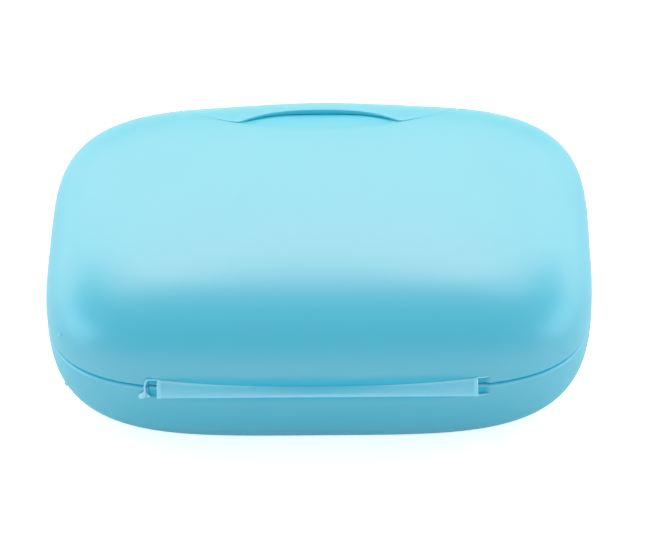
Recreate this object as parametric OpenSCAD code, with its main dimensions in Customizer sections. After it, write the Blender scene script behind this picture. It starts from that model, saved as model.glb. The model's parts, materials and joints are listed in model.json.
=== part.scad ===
// Travel soap box: a base tray and a domed lid joined by a moulded web along the
// rear, with a clasp that swings up from the base's front and lies in a pocket on
// the lid's front shoulder. A slotted rack lifts out of the tray.
// Millimetres, +Z up, +Y towards the clasp, origin at the middle of the flat foot.

/* [Body] */
// Overall length of the closed shells, left to right
box_l = 115; // [104:1:126]
// Overall width of the closed shells, rear to front
box_w = 82.5; // [76:0.5:90]
// Height of the parting line between the base and the lid
seam_z = 22; // [20:0.5:25]
// Height of the lid's crown above the foot
crown_z = 44.3; // [42:0.1:50]
// How far above the parting line the shells are widest
wide_rise = 1.6; // [0.6:0.1:2.4]
// Wall of both shells
wall = 1.6; // [1.2:0.1:2]
// Power of the outline seen from above: 2 is an ellipse and more is squarer
plan_power = 4.1; // [3.6:0.1:4.8]
// Power of the lid's curve along the length
crown_power_l = 2.6; // [2.4:0.05:3]
// Power of the lid's curve across the width
crown_power_w = 2.46; // [2.3:0.02:2.8]
// Power of the base's curve along the length
belly_power_l = 2.9; // [2.6:0.05:3.3]
// Power of the base's curve across the width
belly_power_w = 2.46; // [2.3:0.02:2.8]
// Depth of the whole curve that the flat foot cuts off
belly_h = 30.5; // [29:0.5:36]
// Width of the soft edge round the foot
foot_edge = 1.2; // [0.6:0.1:2]
// Height of the soft edge round the foot
foot_rise = 0.45; // [0.3:0.05:0.8]

/* [Seam] */
// Gap between the two rims along the parting line
seam_gap = 0.2; // [0.1:0.05:0.4]
// Height of the base's tongue above the parting line
tongue_h = 2.4; // [1.5:0.1:2.8]
// Thickness of the tongue
tongue_t = 0.9; // [0.7:0.1:1.2]
// Clearance between the tongue and the lid's wall
tongue_gap = 0.3; // [0.25:0.05:0.5]
// How far below the parting line the wall starts to thicken towards the tongue
step_drop = 4; // [3:0.5:6]

/* [Rear hinge web] */
// Length of the web along the fold
web_l = 65.8; // [50:0.2:72]
// Thickness of the web
web_t = 0.35; // [0.3:0.05:0.4]
// How far the fold stands behind the shells
fold_out = 1.4; // [1.3:0.05:2]
// Height from the fold to the line where the web meets each shell, at its ends
web_reach = 2.1; // [1.9:0.1:2.6]
// The same height in the middle of the web
web_dip = 1.1; // [1:0.1:1.6]
// Radius of the bead along the fold
fold_r = 0.35; // [0.3:0.01:0.36]
// Clearance between the bead and the web's upper leaf
bead_gap = 0.08; // [0.06:0.01:0.12]
// Depth of the relief in both rims round the web
relief_depth = 0.7; // [0.4:0.1:0.9]
// How far the relief runs past the ends of the web
relief_past = 1.9; // [1:0.1:2.5]
// Height of the relief's edges above and below the parting line
relief_rise = 2.5; // [2.2:0.1:3]
// Gap between the web and the relief's floor, where a thin weld runs
weld_gap = 0.15; // [0.1:0.05:0.2]

/* [Clasp] */
// Width of the clasp
clasp_w = 59.5; // [52:0.5:62]
// Thickness of the clasp's wall
clasp_t = 1.5; // [1.2:0.1:1.8]
// Clearance between the clasp and its pocket
clasp_gap = 0.25; // [0.2:0.05:0.4]
// Depth of the lip's underside below the skin, at the clasp's free edge
lip_sink = 0.3; // [0.2:0.05:0.5]
// Share of the clasp's height at which its wall starts to thin towards the lip
thin_from = 0.65; // [0.5:0.05:0.8]
// Height of the catch ridge across the clasp's inner face
catch_h = 0.5; // [0.3:0.05:0.6]
// Length of the catch ridge
catch_l = 36; // [20:1:44]
// Distance from the box's middle to the crease at the back of the finger scoop
crease_y = 18.7; // [17:0.1:21]
// Radius of the crease, seen from above
crease_r = 40.7; // [39:0.1:48]
// Distance from the box's middle to the lip's edge in the finger notch
notch_y = 27.6; // [26:0.1:30]
// Half width of the finger notch, out to its two tips
notch_half = 17.2; // [15:0.1:20]
// How flat the middle of the notch's arch is
notch_power = 3; // [2:0.5:4]
// How softly the notch's two tips are rounded
tip_round = 0.5; // [0.3:0.1:0.8]
// How far the middle of the clasp stands proud of the shells
lip_proud = 0.8; // [0:0.1:1]
// Half width over which the clasp stands proud
proud_half = 26; // [20:0.5:28]
// Height of the clasp's fold above the foot
clasp_fold_z = 19.2; // [18.6:0.1:19.4]
// How far the clasp's fold stands in front of the shells
clasp_fold_out = 0.3; // [0.2:0.05:0.6]
// Radius of the bead along the clasp's fold
clasp_fold_r = 0.3; // [0.25:0.01:0.35]
// Length of the clasp's hinge web
clasp_web_l = 50; // [30:1:51]
// Thickness of the clasp's hinge web
clasp_web_t = 0.5; // [0.4:0.05:0.5]

/* [Drain rack] */
// Height of the rack's underside above the foot
rack_z = 5.4; // [4.6:0.1:5.6]
// Length of the rack
rack_l = 94; // [84:1:95]
// Width of the rack
rack_w = 62; // [56:1:63]
// Thickness of the rack's plate
rack_t = 1.4; // [1:0.1:2]
// Height of the rack's upturned rim above its plate
rack_rim_h = 2; // [1:0.1:3]
// Thickness of the rack's rim
rack_rim_t = 1.4; // [1:0.1:2]
// Number of drain slots
slot_n = 9; // [5:2:9]
// Spacing of the drain slots
slot_pitch = 9; // [7.5:0.5:9]
// Width of a drain slot
slot_w = 3.4; // [2.5:0.1:4]
// Solid border between the slots and the rim
slot_border = 6; // [4:0.5:8]
// Height of the ridges that hold the soap clear of the plate
ridge_h = 1.6; // [1:0.1:2.4]
// Width of a ridge
ridge_w = 1.6; // [1.2:0.1:2]
// Radius of the posts under the rack
post_r = 2.2; // [1.8:0.1:2.6]
// Distance of the posts from the middle, across the width
post_y = 23; // [20:0.5:24]
// Radius of the pips on the posts
pip_r = 0.9; // [0.7:0.05:1.1]
// Height of the pips
pip_h = 0.9; // [0.6:0.1:1]
// Clearance round a pip in the rack's hole
pip_gap = 0.2; // [0.15:0.05:0.4]

/* [Hidden] */
// Facets round the outline of a shell
around = 64;
// Bands from the parting line to the crown, and from the foot to the parting line
crown_bands = 11;
belly_bands = 6;
// Cells across and up a block that lies on the skin
cells_x = 24;
cells_u = 10;
// Line of those cells that carries the clasp's catch ridge, counted from its foot
catch_line = 4;
// Power that spaces the bands evenly along the curve
band_power = 2.5;
// Facets of a small round detail
$fn = 48;
// Height at which both shells are widest, and the lid's curve above it
wide_z = seam_z + wide_rise;
crown_h = crown_z - wide_z;
// Underside of the lid's rim
lid_z0 = seam_z + seam_gap;
// Fold lines of the rear hinge and of the clasp
fold_y = -box_w / 2 - fold_out;
clasp_fold_y = box_w / 2 + clasp_fold_out;
// Depth of the pocket that takes the clasp
pocket_depth = clasp_t + clasp_gap;
// Lower ends of the clasp and of its pocket
clasp_z0 = clasp_fold_z + clasp_fold_r + clasp_gap;
pocket_z0 = clasp_fold_z - clasp_web_t / 2 - clasp_gap;
// How far the walls thicken round the pocket, and how far cutters overshoot
blend = 5;
spare = 2;
// Depth of the notch, from the crease, at which the finger scoop is at its full depth
scoop_fade = 4;
// Power of the curve of the web's far edges
web_bow = 1.75;
// The posts stand under the outermost ridges
post_x = slot_pitch * (slot_n - 2) / 2;

// A number raised to a power with its sign kept, and a smooth step from 0 to 1
function spow(v, p) = (v < 0 ? -1 : 1) * pow(abs(v), p);
function ease(t) = let (c = min(max(t, 0), 1)) c * c * (3 - 2 * c);

// The skin of the closed box: each level is a superellipse whose half sizes shrink
// from the widest level towards the crown and towards the foot
function above(z) = z > wide_z;
function share(z) = above(z) ? (z - wide_z) / crown_h : (wide_z - z) / belly_h;
function power_l(z) = above(z) ? crown_power_l : belly_power_l;
function power_w(z) = above(z) ? crown_power_w : belly_power_w;
function narrowing(k, p) = pow(max(1 - pow(k, p), 0), 1 / p);
function half_l(z) = box_l / 2 * narrowing(share(z), power_l(z));
function half_w(z) = box_w / 2 * narrowing(share(z), power_w(z));
// How fast a half size closes in with height, as a share of itself
function closing(z, p) =
  let (k = share(z))
  pow(k, p - 1) / (1 - pow(k, p)) / (above(z) ? crown_h : -belly_h);
// Point of the skin at an outline angle and a height, and the way out of it there
function skin(a, z) = [
  half_l(z) * spow(cos(a), 2 / plan_power),
  half_w(z) * spow(sin(a), 2 / plan_power),
  z
];
function slope(a, z) =
  let (q = 2 - 2 / plan_power)
  [
    spow(cos(a), q) / half_l(z),
    spow(sin(a), q) / half_w(z),
    pow(cos(a), 2) * closing(z, power_l(z)) + pow(sin(a), 2) * closing(z, power_w(z))
  ];
// The skin moved outwards, square to itself or along the level
function raised(a, z, off) = let (g = slope(a, z)) skin(a, z) + off * g / norm(g);
function spread(a, z, off) =
  let (g = slope(a, z))
  skin(a, z) + off * [g[0], g[1], 0] / norm([g[0], g[1]]);

// Heights are spaced by an angle: 0 at the widest level and 90 at the crown
function band_z(u) =
  u > 0
    ? wide_z + crown_h * pow(sin(u), 2 / band_power)
    : wide_z - belly_h * pow(sin(-u), 2 / band_power);
function band_u(z) = (above(z) ? 1 : -1) * asin(pow(share(z), band_power / 2));
// Outline angle of the skin point that has a given x, on the front or the rear
function angle_at(x, z, front) =
  let (a = acos(max(-1, min(1, spow(x / half_l(z), plan_power / 2)))))
  front ? a : -a;
// Height of the lid above a place on its plan, found by halving
function lid_height(x, y, low = wide_z, high = crown_z, n = 22) =
  let (
    m = (low + high) / 2,
    reach = pow(abs(x) / half_l(m), plan_power) + pow(abs(y) / half_w(m), plan_power)
  )
  n == 0 ? m : lid_height(x, y, reach < 1 ? m : low, reach < 1 ? high : m, n - 1);

// Curves of the clasp seen from above, as distances from the box's middle: the
// crease at the back of the pocket, the finger notch, and the clasp's free edge
function crease(x) =
  let (d = min(abs(x), clasp_w / 2 + spare))
  crease_y + crease_r - sqrt(crease_r * crease_r - d * d);
function notch(x) =
  notch_y - (notch_y - crease(notch_half)) * pow(abs(x) / notch_half, notch_power);
function free_edge(x) =
  let (middle = (notch(x) + crease(x)) / 2, half = (notch(x) - crease(x)) / 2)
  middle + sqrt(half * half + tip_round * tip_round);
// Depth of the finger scoop at a place on the plan: a hollow that starts at the
// crease, flattens out under the lip, and fades where the notch narrows to its tips
function scoop(x, y) =
  let (
    run = free_edge(x) - crease(x),
    s = min(max((y - crease(x)) / max(run, spare), 0), 1)
  )
  (lip_sink + clasp_gap) * (1 - pow(1 - s, 2)) * ease(run / scoop_fade);
// How far the clasp's inner face lies below the skin, at x and at the j-th line up.
// One line carries the catch ridge, which snaps into a groove across the pocket.
function under(x, j) =
  let (t = j / cells_u, end = catch_l / 2 - abs(x))
  clasp_t + (lip_sink - clasp_t) * ease((t - thin_from) / (1 - thin_from))
    + (j == catch_line ? catch_h * ease(end / spare) : 0);
// How far the clasp stands proud, at x and at a share of its height
function proud(x, t) = lip_proud * (1 - ease(abs(x) / proud_half)) * ease(1.6 * t);

// Depth of the wall's inner face. It bulges inwards behind the clasp's pocket.
function bulge(p) =
  let (
    aside = ease((abs(p[0]) - clasp_w / 2 - wall) / blend),
    below = ease((pocket_z0 - wall - p[2]) / blend),
    behind = ease((crease(p[0]) - wall - p[1]) / blend)
  )
  (1 - aside) * (1 - below) * (1 - behind);
function inset(a, z) = wall + pocket_depth * bulge(skin(a, z));

// One ring of the skin, of its inner face, and of a level that is moved in the plane
function outer_ring(z) = [for (i = [0 : around - 1]) skin(i * 360 / around, z)];
function inner_ring(z) = [
  for (i = [0 : around - 1])
    let (a = i * 360 / around)
    raised(a, z, -inset(a, z))
];
function level_ring(z, off, at, follow) = [
  for (i = [0 : around - 1])
    let (
      a = i * 360 / around,
      p = spread(a, z, -off - (follow ? inset(a, z) : 0))
    )
    [p[0], p[1], at]
];

// Faces between equal rings, each from one ring to the next
function tube_faces(count, n) = [
  for (r = [0 : count - 2], i = [0 : n - 1])
    let (a = r * n + i, b = r * n + (i + 1) % n)
    each [[a, b, b + n], [a, b + n, a + n]]
];
function flipped(faces, flip) = flip ? [for (f = faces) [f[2], f[1], f[0]]] : faces;

// A closed solid from a list of rings that starts and ends at a point
module ring_solid(rings, first_tip, last_tip, rising) {
  n = len(rings[0]);
  last = (len(rings) - 1) * n;
  points = concat([for (r = rings) each r], [first_tip, last_tip]);
  first_fan = [for (i = [0 : n - 1]) [last + n, (i + 1) % n, i]];
  last_fan = [for (i = [0 : n - 1]) [last + i, last + (i + 1) % n, last + n + 1]];
  polyhedron(
    points,
    flipped(concat(tube_faces(len(rings), n), first_fan, last_fan), rising)
  );
}

// A block that lies on the skin. For each x, rows holds the heights of its cells, and
// low and high hold the offsets of its two faces there.
module skin_block(half, rows, low, high, front) {
  n = 2 * (cells_x + 1);
  last = len(rows[0]) - 1;
  function at(i, j, offsets) =
    let (z = rows[i][j])
    raised(angle_at(across(i, half), z, front), z, offsets[i][j]);
  points = [
    for (j = [0 : last])
      each concat(
        [for (i = [0 : cells_x]) at(i, j, low)],
        [for (i = [cells_x : -1 : 0]) at(i, j, high)]
      )
  ];
  ends = [
    for (i = [0 : cells_x - 1])
      let (a = i, b = i + 1, c = n - 2 - i, d = n - 1 - i, e = last * n)
      each [[c, b, a], [d, c, a], [e + a, e + b, e + c], [e + a, e + c, e + d]]
  ];
  polyhedron(points, flipped(concat(tube_faces(last + 1, n), ends), front));
}
function across(i, half) = half * (2 * i / cells_x - 1);
// The same list for every x, and the same offset for every point of such a list
function for_each_x(list) = [for (i = [0 : cells_x]) list];
function evenly(rows, v) = [for (row = rows) [for (z = row) v]];
// Heights of a column of cells, evenly spaced along the curve between two levels
function rise(z0, z1) =
  let (u0 = band_u(z0), u1 = band_u(z1))
  [for (j = [0 : cells_u]) band_z(u0 + (u1 - u0) * j / cells_u)];
// Height of the clasp's free edge at x, or of a line some distance behind it
function edge_height(x, back = 0) = lid_height(x, free_edge(x) - back);

// Recess that the clasp lies in. Its floor follows the clasp's inner face.
module clasp_recess() {
  half = clasp_w / 2 + clasp_gap;
  rows = [
    for (i = [0 : cells_x])
      let (x = across(i, half))
      concat([pocket_z0], rise(clasp_z0, edge_height(x)), [edge_height(x, clasp_gap)])
  ];
  floor = [
    for (i = [0 : cells_x])
      let (x = across(i, half))
      concat(
        [-pocket_depth],
        [for (j = [0 : cells_u]) -under(x, j) - clasp_gap],
        [-lip_sink - clasp_gap]
      )
  ];
  skin_block(half, rows, floor, evenly(rows, spare), true);
}

// Finger scoop between the crease and the free edge
module finger_scoop() {
  half = notch_half + spare;
  rows = [
    for (i = [0 : cells_x])
      let (x = across(i, half))
      rise(edge_height(x, -clasp_gap), lid_height(x, crease(x)))
  ];
  floor = [
    for (i = [0 : cells_x])
      let (x = across(i, half))
      [for (z = rows[i]) -scoop(x, skin(angle_at(x, z, true), z)[1])]
  ];
  skin_block(half, rows, floor, evenly(rows, spare), true);
}

// Relief in both rims round the rear web
module web_relief() {
  rows = for_each_x(rise(seam_z - relief_rise, seam_z + relief_rise));
  skin_block(
    web_l / 2 + relief_past,
    rows,
    evenly(rows, -relief_depth),
    evenly(rows, spare),
    false
  );
}

// Places of the four posts on the plan
module at_posts() {
  for (sx = [-1, 1], sy = [-1, 1]) translate([sx * post_x, sy * post_y, 0]) children();
}

module base_shell() {
  u0 = band_u(foot_rise);
  u1 = band_u(seam_z);
  levels = [for (i = [0 : belly_bands]) band_z(u0 + (u1 - u0) * i / belly_bands)];
  inner_levels = [for (i = [belly_bands : -1 : 0]) if (levels[i] < seam_z - step_drop) levels[i]];
  tongue_in = tongue_gap + tongue_t;
  ring_solid(
    concat(
      [level_ring(0, foot_edge, 0, false)],
      [for (z = levels) outer_ring(z)],
      [
        level_ring(seam_z, tongue_gap, seam_z, true),
        level_ring(seam_z, tongue_gap, seam_z + tongue_h, true),
        level_ring(seam_z, tongue_in, seam_z + tongue_h, true),
        level_ring(seam_z, tongue_in, seam_z - step_drop / 2, true),
        inner_ring(seam_z - step_drop)
      ],
      [for (z = inner_levels) if (z > wall) inner_ring(z)],
      [level_ring(foot_rise, wall, wall, false)]
    ),
    [0, 0, 0],
    [0, 0, wall],
    true
  );
}

module lid_shell() {
  u0 = band_u(lid_z0);
  levels = [
    for (i = [crown_bands : -1 : 1]) band_z(u0 + (90 - u0) * i / (crown_bands + 1))
  ];
  ring_solid(
    concat(
      [for (z = levels) outer_ring(z)],
      [outer_ring(lid_z0), level_ring(lid_z0, 0, lid_z0, true)],
      [for (i = [len(levels) - 1 : -1 : 0]) inner_ring(levels[i])]
    ),
    [0, 0, crown_z],
    [0, 0, crown_z - wall],
    false
  );
}

// One post under the rack, rooted in the floor, with its locating pip
module post() {
  cylinder(r = post_r, h = rack_z - wall / 2);
  cylinder(r = pip_r, h = rack_z - wall / 2 + pip_h);
}

module base_tray() {
  color("paleturquoise") {
    difference() {
      base_shell();
      clasp_recess();
      web_relief();
    }
    at_posts() translate([0, 0, wall / 2]) post();
  }
}

module lid() {
  color("lightcyan")
    difference() {
      lid_shell();
      clasp_recess();
      finger_scoop();
      web_relief();
    }
}

// One leaf of the rear web: a thin ruled strip from the fold to the relief's floor.
// Its far edge dips in the middle, where the wall bows out towards the fold.
// side is 1 for the leaf on the lid and -1 for the leaf on the base.
module web_leaf(side, start) {
  function reach(x) =
    web_dip + (web_reach - web_dip) * pow(2 * abs(x) / web_l, web_bow);
  function frame(x) =
    let (
      z = seam_z + side * reach(x),
      p = raised(angle_at(x, z, false), z, weld_gap - relief_depth),
      d = [p[1] - fold_y, p[2] - seam_z],
      l = norm(d)
    )
    [d / l, l];
  function corner(x, along, off) =
    let (f = frame(x), d = f[0], l = along ? f[1] : start)
    [x, fold_y + l * d[0] - off * d[1], seam_z + l * d[1] + off * d[0]];
  sections = [
    for (i = [0 : cells_x])
      let (x = across(i, web_l / 2), h = web_t / 2)
      [corner(x, false, -h), corner(x, true, -h), corner(x, true, h), corner(x, false, h)]
  ];
  function middle(section) = (section[0] + section[2]) / 2;
  ring_solid(sections, middle(sections[0]), middle(sections[cells_x]), true);
}

module hinge_web_lower() {
  color("powderblue") {
    web_leaf(-1, fold_r / 2);
    translate([-web_l / 2, fold_y, seam_z])
      rotate([0, 90, 0]) cylinder(r = fold_r, h = web_l);
  }
}
module hinge_web_upper() {
  color("powderblue") web_leaf(1, fold_r + bead_gap);
}

module clasp() {
  half = clasp_w / 2;
  rows = [for (i = [0 : cells_x]) rise(clasp_z0, edge_height(across(i, half)))];
  inner = [for (i = [0 : cells_x]) [for (j = [0 : cells_u]) -under(across(i, half), j)]];
  outer = [
    for (i = [0 : cells_x]) [for (j = [0 : cells_u]) proud(across(i, half), j / cells_u)]
  ];
  color("aquamarine") skin_block(half, rows, inner, outer, true);
}

// Thin web that joins the clasp to the base, with a bead along its fold
module clasp_hinge_web() {
  inner_edge = [
    for (i = [cells_x : -1 : 0])
      let (x = across(i, clasp_web_l / 2), z = clasp_fold_z)
      [x, raised(angle_at(x, z, true), z, weld_gap - pocket_depth)[1]]
  ];
  half = clasp_web_l / 2;
  color("powderblue") {
    translate([0, 0, clasp_fold_z - clasp_web_t / 2])
      linear_extrude(clasp_web_t)
        polygon(concat([[-half, clasp_fold_y], [half, clasp_fold_y]], inner_edge));
    translate([-half, clasp_fold_y, clasp_fold_z])
      rotate([0, 90, 0]) cylinder(r = clasp_fold_r, h = clasp_web_l);
  }
}

// Outline of the rack, and how far its half width reaches at x
function rack_reach(x, inset_by) =
  (rack_w / 2 - inset_by) * narrowing(abs(x) / (rack_l / 2 - inset_by), plan_power);
module rack_outline(inset_by) {
  polygon([
    for (i = [0 : around - 1])
      let (a = i * 360 / around)
      [
        (rack_l / 2 - inset_by) * spow(cos(a), 2 / plan_power),
        (rack_w / 2 - inset_by) * spow(sin(a), 2 / plan_power)
      ]
  ]);
}
module slot(half) {
  square([slot_w, 2 * half - slot_w], center = true);
  for (s = [-1, 1]) translate([0, s * (half - slot_w / 2)]) circle(d = slot_w);
}

module drain_rack() {
  border = rack_rim_t + slot_border;
  first = -(slot_n - 1) / 2;
  color("azure") translate([0, 0, rack_z])
    difference() {
      union() {
        linear_extrude(rack_t) rack_outline(0);
        linear_extrude(rack_t + rack_rim_h)
          difference() {
            rack_outline(0);
            rack_outline(rack_rim_t);
          }
        for (i = [0 : slot_n - 2]) {
          x = (first + i + 0.5) * slot_pitch;
          reach = rack_reach(x, border);
          translate([x - ridge_w / 2, -reach, 0]) cube([ridge_w, 2 * reach, rack_t + ridge_h]);
        }
      }
      for (i = [0 : slot_n - 1]) {
        x = (first + i) * slot_pitch;
        translate([x, 0, -spare])
          linear_extrude(rack_t + 2 * spare) slot(rack_reach(x, border));
      }
      at_posts() translate([0, 0, -spare]) cylinder(r = pip_r + pip_gap, h = rack_t + ridge_h + 2 * spare);
    }
}

base_tray();
lid();
hinge_web_lower();
hinge_web_upper();
clasp();
clasp_hinge_web();
drain_rack();
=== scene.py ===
# %% [markdown]
# # A travel soap box in satin plastic
# The object is a small clam-shell box, moulded in one shot: a base tray, a domed lid,
# a thin web that joins them along the rear, and a clasp that hooks over the lid's
# front. A slotted rack lies loose inside. This script loads the solids as a fixed
# frame, and lays a finely curved surface over most of them.

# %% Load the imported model
import json
import bpy
import numpy as np
from mathutils import Matrix, Vector


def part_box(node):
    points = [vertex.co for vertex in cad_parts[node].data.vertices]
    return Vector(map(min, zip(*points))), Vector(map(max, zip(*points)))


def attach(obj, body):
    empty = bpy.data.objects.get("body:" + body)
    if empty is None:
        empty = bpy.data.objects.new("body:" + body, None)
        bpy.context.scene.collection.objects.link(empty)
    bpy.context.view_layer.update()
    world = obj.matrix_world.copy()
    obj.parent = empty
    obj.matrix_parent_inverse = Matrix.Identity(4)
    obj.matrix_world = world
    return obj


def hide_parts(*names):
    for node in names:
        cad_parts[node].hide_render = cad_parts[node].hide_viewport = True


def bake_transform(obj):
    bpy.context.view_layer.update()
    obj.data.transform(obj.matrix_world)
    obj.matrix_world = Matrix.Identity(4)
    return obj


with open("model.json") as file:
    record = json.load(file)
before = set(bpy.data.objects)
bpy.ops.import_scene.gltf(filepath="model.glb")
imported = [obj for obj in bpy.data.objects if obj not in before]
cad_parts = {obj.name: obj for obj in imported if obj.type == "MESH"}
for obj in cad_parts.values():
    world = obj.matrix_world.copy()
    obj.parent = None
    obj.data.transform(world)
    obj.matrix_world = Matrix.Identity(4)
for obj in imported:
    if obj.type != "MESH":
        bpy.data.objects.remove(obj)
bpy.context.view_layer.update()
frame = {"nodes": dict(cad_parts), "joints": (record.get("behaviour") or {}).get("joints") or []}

# %% [markdown]
# ## Sizes
# Blender works in metres and the box is small, so the surfaces are worked out in
# millimetres and scaled once, when their mesh is made. What can be measured on the
# frame is measured there, such as the length, the crown and the fold lines. The rest
# are sizes that a box on the frame doesn't show, such as the wall.

# %% Driving sizes, in millimetres
MM = 0.001


def joint_place(name):
    """Where a joint's axis passes, in millimetres."""
    joint = next(j for j in frame["joints"] if j["name"] == name)
    return np.array(joint["pos_m"]) / MM


lid_low, lid_high = (np.array(corner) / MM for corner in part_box("lid"))
clasp_low, clasp_high = (np.array(corner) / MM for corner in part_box("clasp"))
fold_y, fold_z = joint_place("lid_hinge")[1:]
clasp_fold_y, clasp_fold_z = joint_place("clasp_swing")[1:]

wall, seam_gap, fold_out, wide_rise = 1.6, 0.2, 1.4, 1.6
box_l = lid_high[0] - lid_low[0]
box_w = -2 * (fold_y + fold_out)
seam_z = lid_low[2] - seam_gap
wide_z = seam_z + wide_rise
crown_z = lid_high[2]
crown_h, belly_h = crown_z - wide_z, 30.5
print(f"box {box_l:.1f} x {box_w:.1f} x {crown_z:.1f} mm, seam at {seam_z:.1f} mm")

# %% [markdown]
# ## The skin of the box
# Seen from above, such a box is neither an oval nor a rectangle. It could be a cube
# under a Subdivision Surface, but the curve would then depend on where the edges lie.
# A superellipse gives the shape with one number: |x/a|^n + |y/b|^n = 1, with n about
# 4. Seen from the side the lid and the base are superellipses too, so each level is
# the same outline with smaller half sizes. One formula for the whole skin means that
# the lid, the base and the clasp are pieces of one surface, and meet as moulded parts
# do.


# %% Signed powers and smooth steps
def spow(v, p):
    """A power that keeps the number's sign."""
    return np.sign(v) * np.abs(v) ** p


def ease(t):
    """A smooth step: 0 below 0, 1 above 1, and 3t^2 - 2t^3 between."""
    t = np.clip(t, 0, 1)
    return t * t * (3 - 2 * t)


def soft_step(d, half):
    """The same step from d = -half to d = half: an edge that is 2 half wide."""
    return ease((d + half) / (2 * half))


# %% The levels of the box
plan_power, crown_power, crown_from = 4.1, 2.2, 0.78
crown_powers, belly_powers = (2.6, 2.46), (2.9, 2.46)


def share(z):
    """How far a level is from the widest one, as a share of the curve's depth."""
    k = np.where(z > wide_z, (z - wide_z) / crown_h, (wide_z - z) / belly_h)
    return np.clip(k, 1e-9, 1 - 1e-9)


def half_size(z, axis):
    """Half length (axis 0) or half width (axis 1) of the level z: h (1 - k^p)^(1/p)."""
    p = np.where(z > wide_z, crown_powers[axis], belly_powers[axis])
    full = (box_l, box_w)[axis] / 2
    return full * (1 - share(z) ** p) ** (1 / p)


def closing(z, axis):
    """How fast that half size shrinks with height, as a share of itself."""
    p = np.where(z > wide_z, crown_powers[axis], belly_powers[axis])
    depth = np.where(z > wide_z, crown_h, -belly_h)
    k = share(z)
    return k ** (p - 1) / (1 - k**p) / depth


def power(z):
    """The outline's power at a height. It falls near the crown: were it the same at
    every level, the shrinking corners would leave a crease along each diagonal."""
    near = np.where(z > wide_z, ease((share(z) - crown_from) / (1 - crown_from)), 0)
    return plan_power + (crown_power - plan_power) * near


print(f"half sizes at the seam: {half_size(seam_z, 0):.2f} and {half_size(seam_z, 1):.2f} mm")


# %% The skin as a function of an outline angle and a height
def skin(a, z, off=0.0, level=False):
    """Points of the skin at outline angle a and height z, moved out by off.

    The outline is (A cos^(2/n) a, B sin^(2/n) a). The way out is the gradient of
    |x/A|^n + |y/B|^n, and level keeps the move in the plane of the outline.
    """
    a, z, off = np.broadcast_arrays(np.asarray(a, float), z, off)
    half_l, half_w = half_size(z, 0), half_size(z, 1)
    c, s = np.cos(a), np.sin(a)
    q = 2 / power(z)
    place = np.stack([half_l * spow(c, q), half_w * spow(s, q), z], -1)
    rise = c**2 * closing(z, 0) + s**2 * closing(z, 1)
    rise = np.zeros_like(rise) if level else rise
    way = np.stack([spow(c, 2 - q) / half_l, spow(s, 2 - q) / half_w, rise], -1)
    return place + off[..., None] * way / np.linalg.norm(way, axis=-1, keepdims=True)


def angle_at(x, z, front):
    """Outline angle of the point with a given x, on the front or on the rear."""
    ratio = np.clip(spow(x / half_size(z, 0), power(z) / 2), -1, 1)
    a = np.arccos(ratio)
    return np.where(front, a, 2 * np.pi - a)


def height_over(x, y):
    """Height of the lid over a place on the plan, found by halving."""
    low = np.full(np.broadcast(x, y).shape, wide_z)
    high = np.full_like(low, crown_z)
    for _ in range(40):
        mid = (low + high) / 2
        reach = np.abs(x / half_size(mid, 0)) ** power(mid)
        reach = reach + np.abs(y / half_size(mid, 1)) ** power(mid)
        low, high = np.where(reach < 1, mid, low), np.where(reach < 1, high, mid)
    return (low + high) / 2


# %% [markdown]
# A grid of lines on that skin has to run along the edges that show: the clasp's
# pocket, the crease of the finger scoop and the relief round the rear web. So the
# lines are placed by angle along the sides, but by their x on the front and rear.
# Their heights are even in a meridian angle, which packs them where the skin turns.

# %% Heights and places for the grid's lines
band_power = 2.5
fine_steps = (0.08, 0.16, 0.28, 0.5)


def band_z(u):
    """Height for a meridian angle u: 0 at the widest level, pi/2 at the crown."""
    up = wide_z + crown_h * np.sin(np.maximum(u, 0)) ** (2 / band_power)
    down = wide_z - belly_h * np.sin(np.maximum(-u, 0)) ** (2 / band_power)
    return np.where(u > 0, up, down)


def band_u(z):
    """The meridian angle of a height."""
    z = np.asarray(z, float)
    return np.where(z > wide_z, 1, -1) * np.arcsin(share(z) ** (band_power / 2))


def around(middle, steps):
    """Grid lines on both sides of an edge, close to it."""
    steps = np.asarray(steps)
    return np.concatenate([middle - steps[::-1], [middle], middle + steps])


def lines_between(low, high, pitch, edges):
    """Evenly spaced lines with fine ones round each edge."""
    even = np.linspace(low, high, int(round((high - low) / pitch)) + 1)
    clear = [abs(even - e) > fine_steps[-1] * 1.3 for e in edges]
    keep = np.all(clear, axis=0) if edges else np.ones(len(even), bool)
    return np.sort(np.concatenate([even[keep], *(around(e, fine_steps) for e in edges)]))


# %% [markdown]
# ## The clasp's outline
# Seen from above, the pocket on the lid ends in a crease, an arc of a circle. The
# clasp's free edge follows that arc, except for an arched finger notch in its middle
# with two rounded tips. Behind the notch the pocket's floor rises to the crease as a
# ramp for the fingertip. These lines could be cut with Boolean modifiers. Here each is
# a function of x instead, which the clasp and the pocket share, so that the gap
# between them is the same all along.

# %% The crease and the clasp's free edge
crease_y, crease_r, crease_end = 18.7, 40.7, 34.0
notch_y, notch_half, notch_power, tip_round = 27.6, 17.2, 3.0, 0.5


def crease(x, end=crease_end):
    """The crease: an arc of radius crease_r that starts crease_y from the middle."""
    d = np.minimum(np.abs(x), end)
    return crease_y + crease_r - np.sqrt(crease_r**2 - d**2)


def free_edge(x):
    """The clasp's free edge: the crease, or the notch's arch where that lies further
    out. The larger of a and b, rounded, is (a + b)/2 + sqrt(((a - b)/2)^2 + r^2)."""
    drop = (notch_y - crease(notch_half)) * np.abs(x / notch_half) ** notch_power
    notch = notch_y - drop
    middle, half = (notch + crease(x)) / 2, (notch - crease(x)) / 2
    return middle + np.sqrt(half**2 + tip_round**2)


print(f"the notch is {free_edge(0.0) - crease(0.0):.1f} mm deep and {2 * notch_half} wide")

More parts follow.
